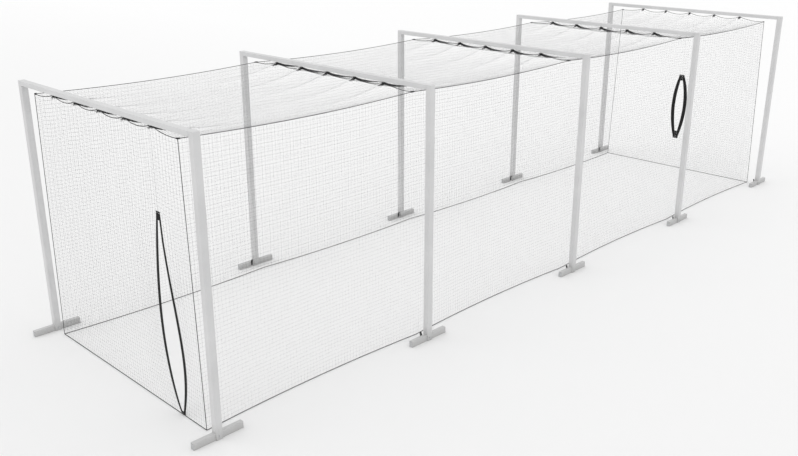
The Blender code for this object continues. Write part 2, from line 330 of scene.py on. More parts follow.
def powder_coat():
    """Light grey powder coat: orange peel, faint mottling, and a little painted shade near the ground."""
    nodes = Nodes("powder_coat_light_grey", 0.42)
    mottle = nodes.ramp(nodes.noise(2.6, 4.0), ((0.3, (0.60, 0.602, 0.604)), (0.7, (0.66, 0.661, 0.663))))
    speck = nodes.ramp(nodes.noise(900.0, 1.0), ((0.30, (0.86, 0.86, 0.86)), (0.42, WHITE)))
    base = nodes.mix(0.5, mottle, speck, "MULTIPLY")
    separate = nodes.add("ShaderNodeSeparateXYZ")
    nodes.link(nodes.place, separate.inputs["Vector"])
    # Painted shade near the ground: the coat darkens in noisy patches over the lowest 0.22 m.
    low = nodes.fade(separate.outputs["Z"], 0.0, 0.22, 1.0, 0.0)
    painted_ground_shade = nodes.math("MULTIPLY", low, nodes.noise(110.0, 6.0))
    nodes.colour(nodes.mix(painted_ground_shade, base, (0.30, 0.295, 0.285)))
    nodes.roughness(nodes.noise(14.0, 4.0), 0.36, 0.52)
    nodes.bump(nodes.noise(420.0, 2.0), 0.0004, 0.5)
    return nodes.material


def zinc_steel():
    """Bright zinc plate with a fine brushed grain."""
    nodes = Nodes("zinc_plated_steel", 0.32, 1.0)
    nodes.colour(nodes.ramp(nodes.noise(60.0, 4.0), ((0.3, (0.50, 0.51, 0.53)), (0.7, (0.64, 0.65, 0.66)))))
    nodes.roughness(nodes.noise(300.0, 3.0, (1, 1, 8)), 0.25, 0.45)
    nodes.bump(nodes.noise(1500.0, 2.0), 0.0001, 0.4)
    return nodes.material


def twine(name, dark, light):
    """Twine, rope or thread: fine fibres over slow fading between two tones."""
    nodes = Nodes(name, 0.72)
    fade = nodes.ramp(nodes.noise(1.7, 3.0), ((0.35, dark), (0.7, light)))
    fibre = nodes.ramp(nodes.noise(2600.0, 2.0), ((0.25, (0.55, 0.55, 0.55)), (0.75, WHITE)))
    nodes.colour(nodes.mix(0.7, fade, fibre, "MULTIPLY"))
    nodes.roughness(nodes.noise(800.0, 2.0), 0.62, 0.85)
    nodes.bump(nodes.noise(2600.0, 2.0), 0.0003, 0.8)
    return nodes.material


def webbing():
    """Black woven webbing: a plain weave seen as fine ribs both ways, with specks of lint."""
    nodes = Nodes("black_webbing", 0.68)
    warp = nodes.wave("X", 420.0, 0.6)
    weft = nodes.wave("Z", 300.0, 0.6)
    weave = nodes.math("MULTIPLY", warp, weft)
    tone = nodes.ramp(weave, ((0.1, (0.002, 0.002, 0.0022)), (0.9, (0.012, 0.012, 0.0125))))
    lint = nodes.ramp(nodes.noise(240.0, 4.0), ((0.6, (0.0, 0.0, 0.0)), (0.85, (0.06, 0.06, 0.06))))
    nodes.colour(nodes.mix(0.25, tone, lint, "ADD"))
    nodes.roughness(weave, 0.80, 0.60)
    nodes.bump(weave, 0.0004, 0.8)
    nodes.shader.inputs["Specular IOR Level"].default_value = 0.25
    nodes.shader.inputs["Sheen Weight"].default_value = 0.05
    nodes.shader.inputs["Sheen Roughness"].default_value = 0.4
    return nodes.material


def plastic(name, colour):
    """Moulded plastic with a fine spark-eroded grain."""
    nodes = Nodes(name, 0.5)
    lighter = tuple(min(1.0, channel * 1.25 + 0.004) for channel in colour)
    nodes.colour(nodes.ramp(nodes.noise(30.0, 3.0), ((0.3, colour), (0.7, lighter))))
    nodes.roughness(nodes.noise(700.0, 2.0), 0.42, 0.62)
    nodes.bump(nodes.noise(1400.0, 2.0), 0.0002, 0.5)
    return nodes.material


MATERIAL = {
    "frame": powder_coat(),
    "spigot": zinc_steel(),
    "net": twine("net_twine", (0.075, 0.075, 0.078), (0.115, 0.115, 0.118)),
    # Painted light: the roof's twine is a lighter copy of the same net twine.
    "roof_net": twine("net_twine_painted_light", (0.20, 0.20, 0.205), (0.28, 0.28, 0.285)),
    # Painted shade: the folds at the eyes use a near-black copy of the net twine for the shade inside them.
    "fold": twine("net_twine_painted_shade", (0.006, 0.006, 0.007), (0.014, 0.014, 0.015)),
    "rope": twine("border_rope", (0.020, 0.020, 0.021), (0.040, 0.040, 0.042)),
    "webbing": webbing(),
    "stitching": twine("stitching_thread", (0.035, 0.035, 0.036), (0.075, 0.075, 0.078)),
    "cap": plastic("end_cap_grey", (0.40, 0.405, 0.41)),
    "cleat": plastic("black_nylon", (0.010, 0.010, 0.011)),
}


# ---------------------------------------------------------------- pieces

def polygon_mesh(name, verts, groups):
    """A mesh from its vertices and its faces; each group's faces have the same number of sides."""
    verts = np.asarray(verts, dtype=np.float32).reshape(-1, 3)
    groups = [np.asarray(group, dtype=np.int32) for group in groups]
    loops = np.concatenate([group.ravel() for group in groups])
    sides = np.concatenate([np.full(len(group), group.shape[1], dtype=np.int32) for group in groups])
    mesh = bpy.data.meshes.new(name)
    mesh.vertices.add(len(verts))
    mesh.vertices.foreach_set("co", verts.ravel())
    mesh.loops.add(len(loops))
    mesh.loops.foreach_set("vertex_index", loops)
    mesh.polygons.add(len(sides))
    mesh.polygons.foreach_set("loop_start", (np.cumsum(sides) - sides).astype(np.int32))
    mesh.update(calc_edges=True)
    return mesh


def piece(name, verts, faces, material, body="cage"):
    """A smooth mesh piece that rides on a body."""
    mesh = polygon_mesh(name, verts, [faces])
    mesh.validate()
    mesh.shade_smooth()
    return finish_piece(name, mesh, material, body)


def finish_piece(name, mesh, material, body="cage"):
    """Gives a mesh its material, slot and body; body None leaves it unattached."""
    mesh.materials.append(MATERIAL[material])
    obj = bpy.data.objects.new(name, mesh)
    bpy.context.scene.collection.objects.link(obj)
    if body is not None:
        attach(obj, body)
    return obj


def bmesh_piece(name, bm, material):
    """A piece from a bmesh, smooth but for its sharp edges."""
    bmesh.ops.recalc_face_normals(bm, faces=bm.faces)
    mesh = bpy.data.meshes.new(name)
    bm.to_mesh(mesh)
    bm.free()
    mesh.shade_smooth()
    mesh.set_sharp_from_angle(angle=math.radians(EDGE_ANGLE))
    return finish_piece(name, mesh, material)


def unit(vectors):
    length = np.linalg.norm(vectors, axis=-1, keepdims=True)
    return vectors / np.maximum(length, 1e-12)


# ---------------------------------------------------------------- where the net hangs

def scallop_z(x):
    """Height of the hanging rope under a crossbar, between its eyes and the net's top corners."""
    x = np.asarray(x, dtype=float)
    knots = [(-NET_TOP_HALF, SIDE_Z)] + [(hook, EYE_Z) for hook in HOOKS] + [(NET_TOP_HALF, SIDE_Z)]
    z = np.full(x.shape, SIDE_Z)
    for (x0, z0), (x1, z1) in zip(knots, knots[1:]):
        t = (x - x0) / (x1 - x0)
        sag = SCALLOP_SAG if z0 == z1 else SCALLOP_SAG * 0.5
        inside = (x >= x0 - 1e-9) & (x <= x1 + 1e-9)
        z = np.where(inside, z0 + (z1 - z0) * t - 4 * sag * t * (1 - t), z)
    return z


def bay_share(y):
    """0 at a frame and 1 at the middle of a bay."""
    t = (np.asarray(y, dtype=float) - FRAME_Y[0]) / BAY
    t = t - np.floor(np.minimum(t, len(FRAMES) - 1 - 1e-6))
    return np.clip(4 * t * (1 - t), 0, 1)


def frame_distance(y):
    """Distance along the cage to the nearest frame."""
    t = (np.asarray(y, dtype=float) - FRAME_Y[0]) / BAY
    return np.abs(t - np.round(t)) * BAY


def side_z(y):
    """Height of the rope along the top of a side wall."""
    return SIDE_Z - SIDE_SAG * bay_share(y)


def bottom_half(y):
    """Half the net's width at the floor, where the side walls bow inwards between frames."""
    return NET_BOTTOM_HALF - BOTTOM_BOW * bay_share(y)


def roof_z(x, y):
    """Height of the roof net: it falls away from the ropes at its edges and from each eye."""
    middle = 1 - (np.abs(x) / NET_TOP_HALF) ** 4
    slack = side_z(y) - (ROOF_DROOP + ROOF_SAG * bay_share(y)) * middle
    ridge = scallop_z(x) - SIDE_Z + ROOF_DROOP * middle
    return slack + ridge * np.exp(-frame_distance(y) / RIDGE_LENGTH)


def ripple(a, b, seed):
    """Slow uneven waves of about 1, the way slack net hangs."""
    return (np.sin(a * 2.1 + 1.3 * np.sin(b * 0.9 + seed) + seed)
            + 0.6 * np.sin(a * 4.7 - b * 1.1 + 2.3 * seed)
            + 0.4 * np.sin(a * 9.3 + b * 2.7 + 0.7 * seed)) / 2.0


# ---------------------------------------------------------------- net

def knotted_net(points, twine_radius):
    """Vertices and quads of the twine along a grid of knots, and of a small knot at each crossing."""
    rows, columns = points.shape[:2]
    along_u = np.gradient(points, axis=1)
    along_v = np.gradient(points, axis=0)
    normal = unit(np.cross(along_u, along_v))
    verts, faces = [], []
    start = 0
    for along, (down, right) in ((along_u, (0, 1)), (along_v, (1, 0))):
        out = normal * twine_radius
        across = unit(np.cross(unit(along), normal)) * twine_radius
        verts.append(np.stack([points + across, points + out, points - across, points - out],
                              axis=2).reshape(-1, 3))
        index = start + np.arange(rows * columns * 4).reshape(rows, columns, 4)
        first = index[: rows - down, : columns - right]
        second = index[down:, right:]
        quads = np.stack([first, np.roll(first, -1, axis=2), np.roll(second, -1, axis=2), second], axis=-1)
        faces.append(quads.reshape(-1, 4))
        start += rows * columns * 4
    reach = twine_radius * KNOT_RATIO
    u, v, out = unit(along_u) * reach, unit(along_v) * reach, normal * reach
    verts.append(np.stack([points + u, points + v, points - u, points - v, points + out, points - out],
                          axis=2).reshape(-1, 3))
    index = start + np.arange(rows * columns * 6).reshape(-1, 6)
    triangles = []
    for side in range(4):
        other = (side + 1) % 4
        triangles.append(index[:, [side, other, 4]])
        triangles.append(index[:, [other, side, 5]])
    return np.concatenate(verts), np.concatenate(faces), np.concatenate(triangles)


def net_piece(name, points, nodes, body="cage", material="net", twine_radius=TWINE_RADIUS):
    verts, quads, triangles = knotted_net(points, twine_radius)
    mesh = polygon_mesh(name, verts, [quads, triangles])
    mesh.shade_smooth()
    obj = finish_piece(name, mesh, material, body)
    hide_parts(*nodes)
    return obj


def make_side_walls():
    rows = round(SIDE_Z / MESH)
    columns = round(BAY / MESH)
    for side, sign in SIGN.items():
        for bay in range(len(FRAMES) - 1):
            y = FRAME_Y[bay] + BAY * np.arange(columns + 1) / columns
            t = (np.arange(rows + 1) / rows)[:, None]
            y_grid = np.broadcast_to(y, (rows + 1, columns + 1))
            x = bottom_half(y) * (1 - t) + NET_TOP_HALF * t
            z = FLOOR_ROPE_Z + (side_z(y) - FLOOR_ROPE_Z) * t
            hang = 4 * t * (1 - t)
            x = x + WALL_RIPPLE * hang * ripple(y_grid, z * 0.6, 1.0 + sign)
            wander = WALL_WANDER * hang * ripple(z, y_grid, 3.0 + sign)
            points = np.stack([sign * x, y_grid + wander * bay_share(y), z], axis=-1)
            net_piece(f"net_{side}_bay_{bay + 1}", points, [f"net_{side}"])


def gather(x, y):
    """Draws the lengthwise twines together towards each eye near a frame."""
    fade = np.exp(-frame_distance(y) / GATHER_LENGTH)
    moved = np.array(x, dtype=float)
    for hook in HOOKS:
        offset = x - hook
        moved = moved - offset * GATHER_SHARE * np.exp(-(offset / GATHER_REACH) ** 2) * fade
    return moved


def fold_ridge(x, y):
    """How far the roof stands up along the fold that runs out from each eye."""
    away = frame_distance(y) / FOLD_RIDGE_PLACE
    near_eye = sum(np.exp(-((x - hook) / FOLD_RIDGE_WIDTH) ** 2) for hook in HOOKS)
    return FOLD_RIDGE * away * np.exp(1 - away) * near_eye


def make_roof():
    columns = round(2 * NET_TOP_HALF / MESH)
    rows = round(BAY / MESH)
    across = NET_TOP_HALF * (2 * np.arange(columns + 1) / columns - 1)
    for bay in range(len(FRAMES) - 1):
        y = (FRAME_Y[bay] + BAY * np.arange(rows + 1) / rows)[:, None]
        x = np.broadcast_to(across, (rows + 1, columns + 1))
        y_grid = np.broadcast_to(y, x.shape)
        x = gather(x, y_grid)
        inner = (1 - (across / NET_TOP_HALF) ** 2) * bay_share(y)
        z = roof_z(x, y_grid) + fold_ridge(x, y_grid) + ROOF_RIPPLE * inner * ripple(x, y_grid, 5.0)
        net_piece(f"net_roof_bay_{bay + 1}", np.stack([x, y_grid, z], axis=-1), ["net_roof"],
                  material="roof_net", twine_radius=ROOF_TWINE_RADIUS)


def slit_line(slit, t):
    """x and z on the line through a slit's two ends; t runs from the top to the bottom."""
    (x0, z0), (x1, z1) = slit["top"], slit["bottom"]
    return x0 + (x1 - x0) * t, z0 + (z1 - z0) * t


def slit_shape(side, t):
    """0 at both ends of a slit and 1 where its edge stands furthest out."""
    return np.maximum(0, np.sin(np.pi * np.clip(t, 0, 1) ** side["lean"])) ** side["round"]


def edge_reach(slit, side, t):
    """How far a slit's edge stands out from the slit's line."""
    return np.maximum(EDGE_CLEARANCE, slit[side]["bow"] * slit_shape(slit[side], t))


def seam_reach(slit, side, t):
    """How far the outer side of the binding, where it is sewn to the net, stands out."""
    width = slit["binding"] * (1 - BINDING_TAPER * (1 - slit_shape(slit[side], t)) ** 2)
    return edge_reach(slit, side, t) + width


def slit_middle(slit, z):
    """How far down the slit a height is, 0 to 1 inside it, and the slit line's x there."""
    (x0, z0), (x1, z1) = slit["top"], slit["bottom"]
    down = (z0 - z) / (z0 - z1)
    return down, x0 + (x1 - x0) * np.clip(down, 0, 1)


def make_end_walls():
    rows = round(SIDE_Z / MESH)
    for end, slit in SLITS.items():
        centre = (slit["top"][0] + slit["bottom"][0]) / 2
        for side, sign in SIGN.items():
            shape = slit[side]
            half_width = NET_TOP_HALF - sign * centre
            columns = round(half_width / MESH)
            u = (np.arange(columns + 1) / columns)[None, :]
            t = (np.arange(rows + 1) / rows)[:, None]
            edge = NET_BOTTOM_HALF * (1 - t) + NET_TOP_HALF * t
            top = scallop_z(centre + (sign * NET_TOP_HALF - centre) * u)
            z = FLOOR_ROPE_Z + (top - FLOOR_ROPE_Z) * t
            down, middle = slit_middle(slit, z)
            x = middle + (sign * edge - middle) * u
            inside = (down > 0.0) & (down < 1.0)
            pull = (edge_reach(slit, side, down) + seam_reach(slit, side, down)) / 2
            reach = shape["bow"] + shape["flap"]
            beside = np.clip(1 - np.abs(x - middle) / (PULL_WIDTH + reach), 0, 1)
            x = x + sign * np.where(inside, pull, 0) * beside ** PULL_FADE
            y = slit["y"] + (END_RIPPLE * 4 * t * (1 - t) * np.minimum(1, 6 * (1 - u))
                             * ripple(x, z, 7.0 + sign))
            y = np.where(inside & (np.abs(x - middle) < reach), slit["y"], y)
            points = np.stack([x, np.broadcast_to(y, x.shape), z], axis=-1)
            replaced = [f"net_{end}_end", f"{end}_flap_{side}"]
            obj = net_piece(f"net_{end}_end_{side}", points, replaced, body=None)
            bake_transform(obj)
            weigh_slit(obj, slit, side)


def weigh_slit(obj, slit, side):
    """Works out how near each point of the net is to the slit's edge at its own height, as a share from 0 to
    1; the share is not stored or used.
    """
    shape, sign = slit[side], SIGN[side]
    co = np.empty(len(obj.data.vertices) * 3, dtype=np.float32)
    obj.data.vertices.foreach_get("co", co)
    co = co.reshape(-1, 3)
    down, middle = slit_middle(slit, co[:, 2])
    inner = seam_reach(slit, side, down)
    outer = np.maximum(inner + 0.001, (shape["bow"] + shape["flap"]) * slit_shape(shape, down))
    share = np.clip((outer - sign * (co[:, 0] - middle)) / (outer - inner), 0, 1)
    share = np.where((down <= 0) | (down >= 1), 0, share)


# ---------------------------------------------------------------- folds and lashings at the eyes

def strands(name, routes, radii, material):
    """Thin strands as one mesh: routes has strands, points and xyz, radii has strands and points."""
    tangent = unit(np.gradient(routes, axis=1))
    side = unit(np.cross(tangent, STRAND_ASKEW))
    over = np.cross(side, tangent)
    angle = 2 * np.pi * np.arange(STRAND_SIDES) / STRAND_SIDES
    ring = routes[:, :, None] + radii[:, :, None, None] * (
        side[:, :, None] * np.cos(angle)[:, None] + over[:, :, None] * np.sin(angle)[:, None])
    index = np.arange(ring.shape[0] * ring.shape[1] * STRAND_SIDES).reshape(ring.shape[:3])
    first, second = index[:, :-1], index[:, 1:]
    faces = np.stack([first, np.roll(first, -1, axis=2), np.roll(second, -1, axis=2), second], axis=-1)
    caps = np.concatenate([index[:, 0], index[:, -1, ::-1]])
    return piece(name, ring.reshape(-1, 3), np.concatenate([faces.reshape(-1, 4), caps]), material)


def scattered(count, which):
    """Evenly scattered shares between 0 and 1."""
    return (0.5 + SCATTER[which] * np.arange(count)) % 1.0


def fold_routes(hook, y, way, length):
    """Strands of a fold that leaves an eye along the roof and thins out to nothing."""
    s = np.linspace(0, 1, FOLD_POINTS)[None, :]
    lateral = (2 * scattered(FOLD_STRANDS, 0) - 1)[:, None]
    low = scattered(FOLD_STRANDS, 1)[:, None]
    reach = length * (0.45 + 0.55 * scattered(FOLD_STRANDS, 2))[:, None]
    run = y + way * reach * s
    swell = np.sin(np.pi * np.minimum(1.0, 0.12 + s * 0.88)) ** 0.8 * (1 - s) ** 0.6
    x = hook + lateral * FOLD_WIDTH * (0.25 + swell) * (1 - 0.8 * s)
    sway = FOLD_SWAY * np.sin(9 * s + 6 * lateral) * s * (1 - s)
    z = roof_z(hook, run) + fold_ridge(hook, run) - FOLD_DEPTH * low * swell + sway
    radii = FOLD_STRAND_RADIUS * np.broadcast_to(1.15 - 0.75 * s, x.shape)
    return np.stack([x, run, z], axis=-1), radii


def tuft_routes(hook, y):
    """Short loops of net that hang in a tuft under an eye."""
    s = np.linspace(0, 1, FOLD_POINTS)[None, :]
    turn = (2 * np.pi * scattered(TUFT_STRANDS, 0))[:, None]
    reach = TUFT_REACH * (0.35 + 0.65 * scattered(TUFT_STRANDS, 1))[:, None]
    drop = TUFT_DROP * (0.55 + 0.45 * scattered(TUFT_STRANDS, 2))[:, None]
    x = hook + reach * np.cos(turn) * s ** 0.8
    run = y + 0.7 * reach * np.sin(turn) * s ** 0.8
    z = EYE_Z - TUFT_START - drop * (1.35 * s - 0.35 * s * s * s)
    radii = FOLD_STRAND_RADIUS * np.broadcast_to(1.2 - 0.6 * s, x.shape)
    return np.stack([x, run, z], axis=-1), radii


def wrap_route(start, stop, gap, turns):
    """A helix of cord round a straight stretch of rope."""
    s = np.linspace(0, 1, LASHING_POINTS)[:, None]
    start = np.array(start)
    stop = np.array(stop)
    along = unit(stop - start)
    side = unit(np.cross(along, STRAND_ASKEW))
    over = np.cross(side, along)
    angle = 2 * np.pi * turns * s
    radius = ROPE_RADIUS + gap
    return start + (stop - start) * s + radius * (side * np.cos(angle) + over * np.sin(angle))


def make_eye_gathers():
    """Folds and tufts of net at the eyes, and lashings round the ropes at the eyes and top corners."""
    for number, y in zip(FRAMES, FRAME_Y):
        routes, radii, cords = [], [], []
        ways = [(1, LONG_FOLD), (-1, SHORT_FOLD)]
        if number == FRAMES[0]:
            ways = ways[:1]
        if number == FRAMES[-1]:
            ways = [(-1, LAST_FOLD)]
        for hook in HOOKS:
            groups = [fold_routes(hook, y, way, length) for way, length in ways]
            if number != FRAMES[-1]:
                groups.append(tuft_routes(hook, y))
            for route, radius in groups:
                routes.append(route)
                radii.append(radius)
            for way in (-1, 1):
                near, far = (hook + way * reach for reach in LASHING_FROM_EYE)
                cords.append(wrap_route((near, y, float(scallop_z(near))), (far, y, float(scallop_z(far))),
                                        *EYE_LASHING))
        for sign in SIGN.values():
            x = sign * NET_TOP_HALF
            for way in (-1, 1):
                if (number, way) in ((FRAMES[0], -1), (FRAMES[-1], 1)):
                    continue
                stop = (x, y + way * LASHING_LENGTH, SIDE_Z)
                cords.append(wrap_route((x, y, SIDE_Z), stop, *SIDE_LASHING))
            inwards = x - sign * LASHING_LENGTH
            stop = (inwards, y, float(scallop_z(inwards)))
            cords.append(wrap_route((x, y, SIDE_Z), stop, *BAR_LASHING))
        strands(f"net_folds_{number}", np.concatenate(routes), np.concatenate(radii), "fold")
        cords = np.stack(cords)
        strands(f"eye_lashings_{number}", cords, np.full(cords.shape[:2], LASHING_CORD), "rope")


# ---------------------------------------------------------------- ropes

def even_route(points, step, closed=False):
    """Evenly spaced points along a dense route."""
    route = np.array(list(points) + ([points[0]] if closed else []), dtype=float)
    length = np.concatenate([[0], np.cumsum(np.linalg.norm(np.diff(route, axis=0), axis=1))])
    count = max(8, round(length[-1] / step))
    stations = np.linspace(0, length[-1], count + 1)
    return np.stack([np.interp(stations, length, route[:, k]) for k in range(3)], axis=-1)


def laid_rope(name, route, nodes, closed=False):
    """A rope of three strands: a lobed section that turns as it runs along the route."""
    points = even_route(route, ROPE_LAY / ROPE_RINGS_PER_LAY, closed)
    if closed:
        points = points[:-1]
        tangent = unit(np.roll(points, -1, axis=0) - np.roll(points, 1, axis=0))
    else:
        tangent = unit(np.gradient(points, axis=0))
    side = unit(np.cross(tangent, ROPE_ASKEW))
    over = np.cross(side, tangent)
    count = len(points)
    turns = round(count / ROPE_RINGS_PER_LAY)
    sides = STRAND_LOBES * SIDES_PER_LOBE
    angle = 2 * np.pi * np.arange(sides) / sides
    lobes = ROPE_RADIUS * (ROPE_CORE + ROPE_LOBE * np.cos(STRAND_LOBES * angle))
    spin = 2 * np.pi * turns * np.arange(count) / count
    turned = angle[None, :] + spin[:, None]
    ring = (points[:, None] + lobes[None, :, None]
            * (side[:, None] * np.cos(turned)[..., None] + over[:, None] * np.sin(turned)[..., None]))
    verts = ring.reshape(-1, 3)
    index = np.arange(count * sides).reshape(count, sides)
    first = index if closed else index[:-1]
    second = np.roll(index, -1, axis=0) if closed else index[1:]
    faces = np.stack([first, np.roll(first, -1, axis=1), np.roll(second, -1, axis=1), second], axis=-1)
    faces = faces.reshape(-1, 4)
    if not closed:
        centre = len(verts)
        verts = np.concatenate([verts, points[:1], points[-1:]])
        start = [(centre, index[0][(k + 2) % sides], index[0][(k + 1) % sides], index[0][k])
                 for k in range(0, sides - 1, 2)]
        stop = [(centre + 1, index[-1][k], index[-1][(k + 1) % sides], index[-1][(k + 2) % sides])
                for k in range(0, sides - 1, 2)]
        faces = np.concatenate([faces, np.array(start), np.array(stop)])
    obj = piece(name, verts, faces, "rope")
    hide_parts(*nodes)
    return obj


def corner_line(sign, y, shares):
    """Points down a corner of the net, which leans out towards its foot."""
    lean = NET_BOTTOM_HALF - NET_TOP_HALF
    return [(sign * (NET_TOP_HALF + lean * t), y, SIDE_Z + (FLOOR_ROPE_Z - SIDE_Z) * t) for t in shares]


def make_ropes():
    stations = np.linspace(FRAME_Y[0], FRAME_Y[-1], 241)
    shares = np.linspace(0.003, 0.997, 40)
    for side, sign in SIGN.items():
        top = [(sign * NET_TOP_HALF, y, float(side_z(y))) for y in stations]
        bottom = [(sign * float(bottom_half(y)), y, FLOOR_ROPE_Z) for y in stations]
        route = top + corner_line(sign, FRAME_Y[-1], shares) + bottom[::-1]
        route += corner_line(sign, FRAME_Y[0], shares[::-1])
        laid_rope(f"border_rope_{side}_laid", route, [f"border_rope_{side}"], closed=True)
    for name, y in (("near", FRAME_Y[0]), ("far", FRAME_Y[-1])):
        reach = NET_BOTTOM_HALF - ROPE_RADIUS
        laid_rope(f"floor_rope_{name}_laid", [(-reach, y, FLOOR_ROPE_Z), (reach, y, FLOOR_ROPE_Z)],
                  [f"floor_rope_{name}"])
    for number, y in zip(FRAMES, FRAME_Y):
        route = [(x, y, float(scallop_z(x))) for x in np.linspace(-NET_TOP_HALF, NET_TOP_HALF, 341)]
        laid_rope(f"hanging_rope_{number}_laid", route, [f"hanging_rope_{number}"])


# ---------------------------------------------------------------- slit bindings

def make_bindings():
    """Webbing folded over the net's cut edge: a rounded flat band, with a row of stitches near each side."""
    last = BINDING_SIDES - 1
    angle = 2 * np.pi * np.arange(BINDING_SIDES) / BINDING_SIDES
    wide = np.sign(np.cos(angle)) * np.abs(np.cos(angle)) ** 0.45 / 2
    thick = np.sign(np.sin(angle)) * np.abs(np.sin(angle)) ** 0.8 * BINDING_THICK * BINDING_FILL
    for end, slit in SLITS.items():
        for side, sign in SIGN.items():
            body = f"{end}_slit_edge_{side}"
            t = np.linspace(0.001, 0.999, BINDING_STEPS + 1)
            inner, seam = edge_reach(slit, side, t), seam_reach(slit, side, t)
            x, z = slit_line(slit, t)
            centre = np.stack([x + sign * (inner + seam) / 2, np.full_like(x, slit["y"]), z], axis=-1)
            tangent = unit(np.gradient(centre, axis=0))
            across = unit(np.cross(tangent, ACROSS_NET))
            width = (seam - inner) * np.abs(across[:, 0])
            ring = (centre[:, None] + across[:, None] * (width[:, None] * wide)[..., None]
                    + ACROSS_NET * thick[None, :, None])
            index = np.arange((BINDING_STEPS + 1) * BINDING_SIDES).reshape(BINDING_STEPS + 1, BINDING_SIDES)
            faces = np.stack([index[:-1], np.roll(index[:-1], -1, axis=1), np.roll(index[1:], -1, axis=1),
                              index[1:]], axis=-1).reshape(-1, 4)
            caps = [[index[row][k], index[row][last - k], index[row][last - k - 1], index[row][k + 1]]
                    for row in (0, -1) for k in range(BINDING_SIDES // 2 - 1)]
            obj = piece(f"{end}_webbing_{side}", ring.reshape(-1, 3), np.concatenate([faces, caps]),
                        "webbing", body)
            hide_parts(f"{end}_binding_{side}")
            stitch_rows(f"{end}_stitching_{side}", centre, across, tangent, width, body)


def make_bar_tacks():
    """A short patch of webbing past each end of a slit, sewn down with close stitches.

    The near slit's lower patch is the low one, because the slit ends just above the ground.
    """
    wave = TACK_WAVE * np.cos(np.arange(TACK_POINTS) * np.pi)
    for end, slit in SLITS.items():
        for place, share, way in (("top", 0.0, 1), ("bottom", 1.0, -1)):
            x, z = slit_line(slit, share)
            half = float(seam_reach(slit, "left", share)) * PATCH_WIDTH
            tall = PATCH_TALL if place == "top" or end == "far" else PATCH_LOW
            bm = bmesh.new()
            bmesh.ops.create_cube(bm, size=1.0)
            for vert in bm.verts:
                vert.co = (x + vert.co.x * 2 * half, slit["y"] + vert.co.y * BINDING_THICK * PATCH_THICK,
                           z + way * (PATCH_GAP + tall * (0.5 + way * vert.co.z)))
            bmesh.ops.bevel(bm, geom=bm.edges, offset=PATCH_BEVEL, segments=2, affect="EDGES")
            bmesh_piece(f"{end}_slit_patch_{place}", bm, "webbing")
            count = max(2, int(tall / TACK_STEP))
            routes = []
            for k in range(count):
                level = z + way * (TACK_MARGIN + (tall - TACK_SPACE) * k / count)
                for face in (-1, 1):
                    xs = np.linspace(x - half * TACK_WIDTH, x + half * TACK_WIDTH, TACK_POINTS)
                    ys = slit["y"] + face * (BINDING_THICK * BINDING_FILL + TACK_LIFT + wave)
                    routes.append(np.stack([xs, ys, np.full_like(xs, level)], axis=-1))
            routes = np.array(routes)
            radii = np.full(routes.shape[:2], TACK_RADIUS)
            strands(f"{end}_slit_tack_{place}", routes, radii, "stitching")


def make_gussets():
    """Tongues of webbing that close the narrow space between the edges at each end of a slit."""
    last = 2 * GUSSET_STEPS - 1
    for end, slit in SLITS.items():
        for place, depth in zip(("top", "bottom"), slit["gussets"]):
            share = depth / (slit["top"][1] - slit["bottom"][1])
            t = np.linspace(0.0, share, GUSSET_STEPS)
            if place == "bottom":
                t = 1.0 - t
            x, z = slit_line(slit, t)
            left = x - edge_reach(slit, "left", t) + GUSSET_GAP
            right = x + edge_reach(slit, "right", t) - GUSSET_GAP
            outline = list(zip(left, z)) + list(zip(right[::-1], z[::-1]))
            bm = bmesh.new()
            front, back = [[bm.verts.new((px, slit["y"] + face * GUSSET_THICK / 2, pz)) for px, pz in outline]
                           for face in (-1, 1)]
            for k in range(GUSSET_STEPS - 1):
                for ring in (front, back):
                    bm.faces.new((ring[k], ring[k + 1], ring[last - k - 1], ring[last - k]))
            for k in range(last + 1):
                after = (k + 1) % (last + 1)
                bm.faces.new((front[k], back[k], back[after], front[after]))
            bmesh_piece(f"{end}_slit_gusset_{place}", bm, "webbing")


def stitch_rows(name, centre, across, tangent, width, body):
    """Two rows of raised stitches on both faces of a binding."""
    length = np.concatenate([[0], np.cumsum(np.linalg.norm(np.diff(centre, axis=0), axis=1))])
    stations = np.arange(STITCH_MARGIN, length[-1] - STITCH_MARGIN, STITCH_STEP)
    verts = []
    faces = []
    for station in stations:
        place = np.array([np.interp(station, length, centre[:, k]) for k in range(3)])
        run = unit(np.array([np.interp(station, length, tangent[:, k]) for k in range(3)]))
        out = unit(np.array([np.interp(station, length, across[:, k]) for k in range(3)]))
        inset = float(np.interp(station, length, width)) / 2 - STITCH_INSET
        for row in (-1, 1):
            for face in (-1, 1):
                base = len(verts)
                spot = place + out * row * inset + ACROSS_NET * face * BINDING_THICK * STITCH_SEAT
                verts += [spot + run * a + out * b + ACROSS_NET * face * c for a, b, c in STITCH_SHAPE]
                faces += [(base + 0, base + 1, base + 4), (base + 1, base + 2, base + 4),
                          (base + 2, base + 3, base + 4), (base + 3, base + 0, base + 4)]
    piece(name, verts, faces, "stitching", body)


# ---------------------------------------------------------------- fasteners, caps and cleats

def skin(bm, rings):
    """Joins rings of vertices one to the next, and closes the first and the last."""
    for first, second in zip(rings, rings[1:]):
        for k in range(len(first)):
            other = (k + 1) % len(first)
            bm.faces.new((first[k], first[other], second[other], second[k]))
    bm.faces.new(rings[0])
    bm.faces.new(rings[-1])


def turned(bm, place, axis, profile, sides, spin=0.0):
    """Adds a closed solid turned about an axis, from pairs of distance along it and radius."""
    turn = Vector(axis).to_track_quat("Z", "Y")
    rings = []
    for along, radius in profile:
        ring = []
        for k in range(sides):
            angle = 2 * math.pi * k / sides + spin
            offset = turn @ Vector((radius * math.cos(angle), radius * math.sin(angle), along))
            ring.append(bm.verts.new(Vector(place) + offset))
        rings.append(ring)
    skin(bm, rings)


